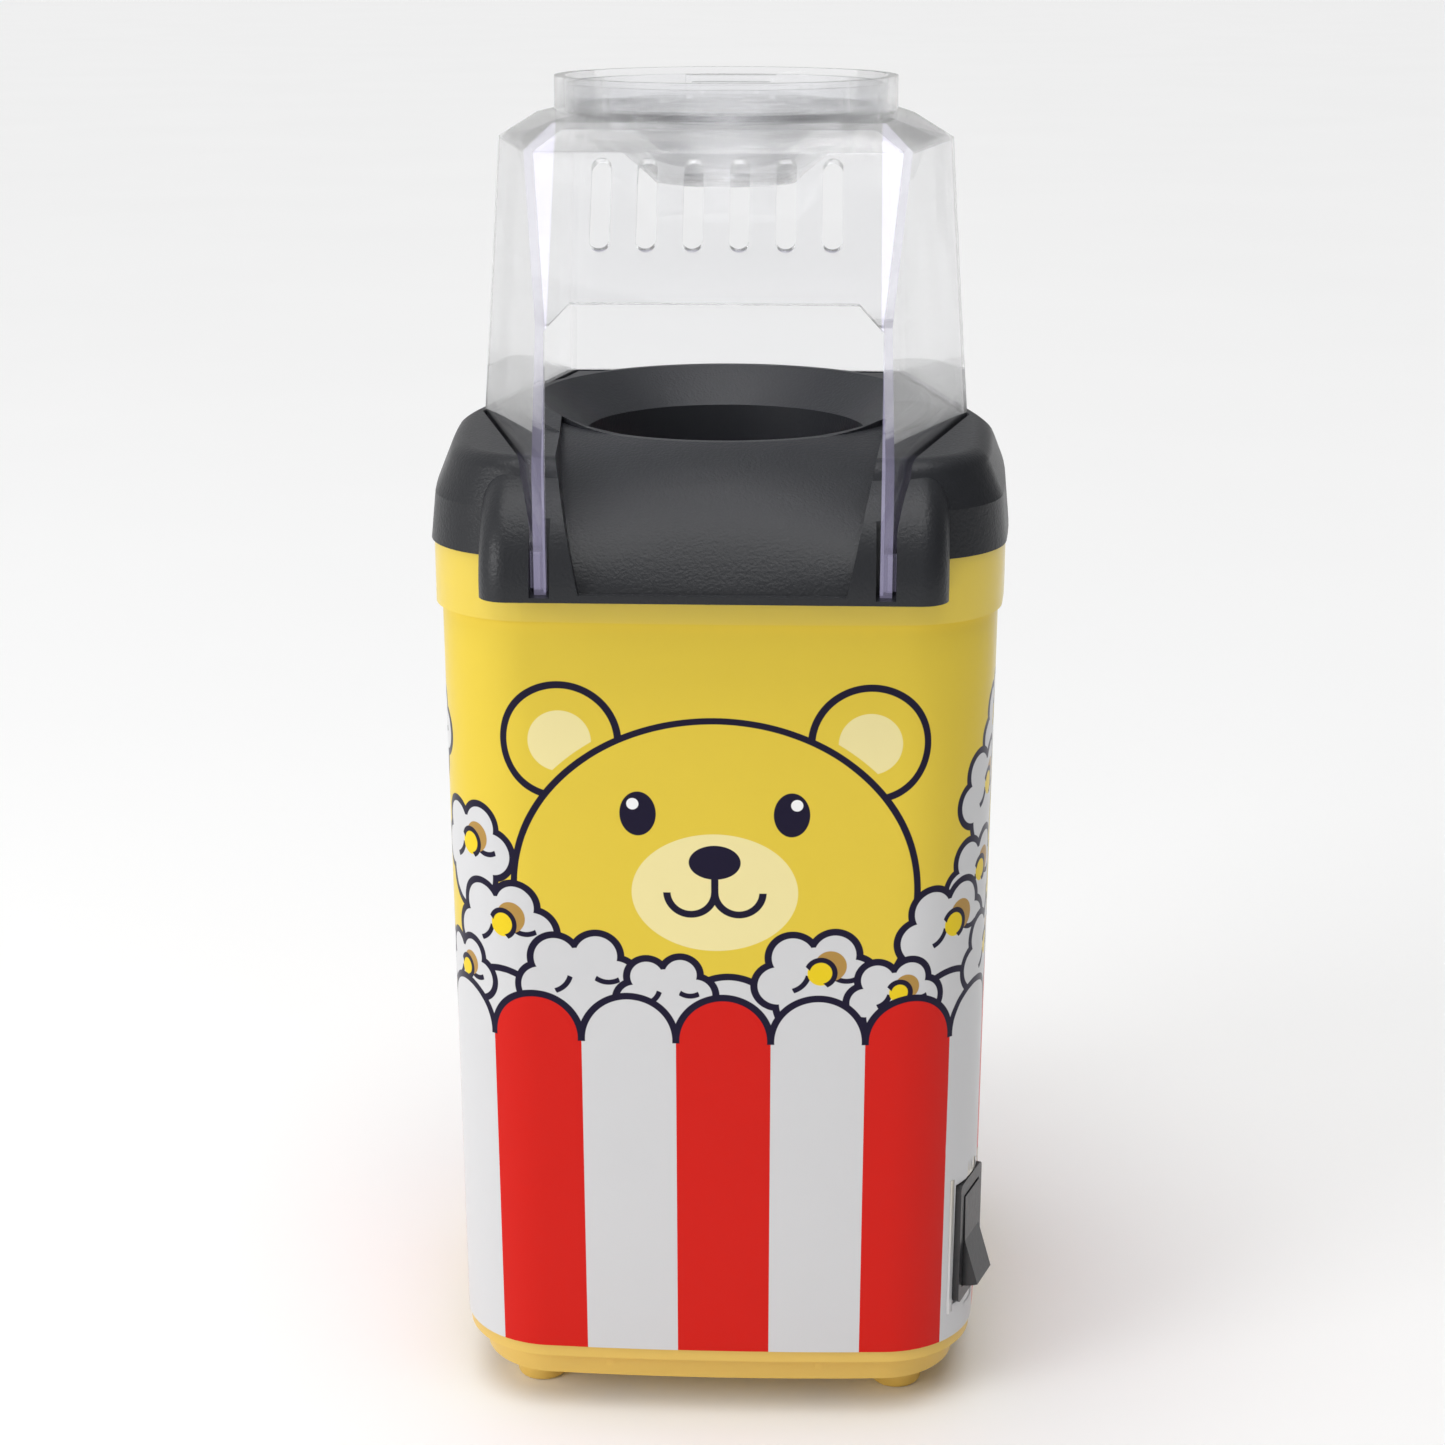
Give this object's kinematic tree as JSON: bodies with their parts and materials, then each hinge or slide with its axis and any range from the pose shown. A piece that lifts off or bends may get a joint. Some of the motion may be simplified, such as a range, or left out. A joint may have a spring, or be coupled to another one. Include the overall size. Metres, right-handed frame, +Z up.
{
  "type": "hot air popcorn maker",
  "caption": "Small upright hot air popcorn maker: squarish body, dark spouted collar, clear lift-off hood with a measuring cup, rocker switch, and a fan and heater inside.",
  "frame": {"origin": "on the floor under the middle of the outer box", "axes": "+Z up, the spout faces -Y, +X to the right seen from the front"},
  "size_m": [0.1286, 0.14, 0.299],
  "materials": {
    "body_shell": "gloss",
    "cord_gland": "matt",
    "base_plate": "satin",
    "feet": "satin",
    "base_screws": "zinc plated",
    "collar_screws": "zinc plated",
    "top_collar": "satin grain",
    "chamber_gasket": "matt silicone",
    "popping_chamber": "spun",
    "chamber_screws": "zinc plated",
    "heat_shield": "satin",
    "heater_former": "matt mica",
    "heater_coil": "oxidised wire",
    "thermostat": "matt",
    "thermal_fuse": "matt",
    "fan_case": "satin",
    "case_screws": "zinc plated",
    "motor_bracket": "zinc plated",
    "motor_can": "zinc plated",
    "motor_end_cap": "satin",
    "motor_screws": "zinc plated",
    "rectifier_board": "satin",
    "rectifier_diodes": "satin",
    "board_screws": "zinc plated",
    "switch_housing": "satin",
    "motor_shaft": "ground",
    "impeller": "satin",
    "impeller_nut": "turned",
    "switch_rocker": "gloss",
    "hood": "clear plastic",
    "measuring_cup": "clear plastic"
  },
  "bodies": {
    "base": {"body_shell": "body_shell", "cord_gland": "cord_gland", "base_plate": "base_plate", "feet": "feet", "base_screws": "base_screws", "collar_screws": "collar_screws", "top_collar": "top_collar", "chamber_gasket": "chamber_gasket", "popping_chamber": "popping_chamber", "chamber_screws": "chamber_screws", "heat_shield": "heat_shield", "heater_former": "heater_former", "heater_coil": "heater_coil", "thermostat": "thermostat", "thermal_fuse": "thermal_fuse", "fan_case": "fan_case", "case_screws": "case_screws", "motor_bracket": "motor_bracket", "motor_can": "motor_can", "motor_end_cap": "motor_end_cap", "motor_screws": "motor_screws", "rectifier_board": "rectifier_board", "rectifier_diodes": "rectifier_diodes", "board_screws": "board_screws", "switch_housing": "switch_housing"},
    "fan": {"motor_shaft": "motor_shaft", "impeller": "impeller", "impeller_nut": "impeller_nut"},
    "rocker": {"switch_rocker": "switch_rocker"},
    "hood": {"hood": "hood"},
    "cup": {"measuring_cup": "measuring_cup"}
  },
  "joints": [
    {"name": "fan_spin", "type": "hinge", "parent": "base", "child": "fan", "pos_m": [0, 0.005, 0.072], "axis": [0, 0, 1], "continuous": true},
    {"name": "switch_rock", "type": "hinge", "parent": "base", "child": "rocker", "pos_m": [0.05737, -0.04123, 0.041], "axis": [0.3584, 0.9336, 0], "range_deg": [0, 18]},
    {"name": "hood_lift", "type": "slide", "parent": "base", "child": "hood", "axis": [0, 0, 1], "range_m": [0, 0.06]},
    {"name": "cup_lift", "type": "slide", "parent": "hood", "child": "cup", "axis": [0, 0, 1], "range_m": [0, 0.05]}
  ]
}
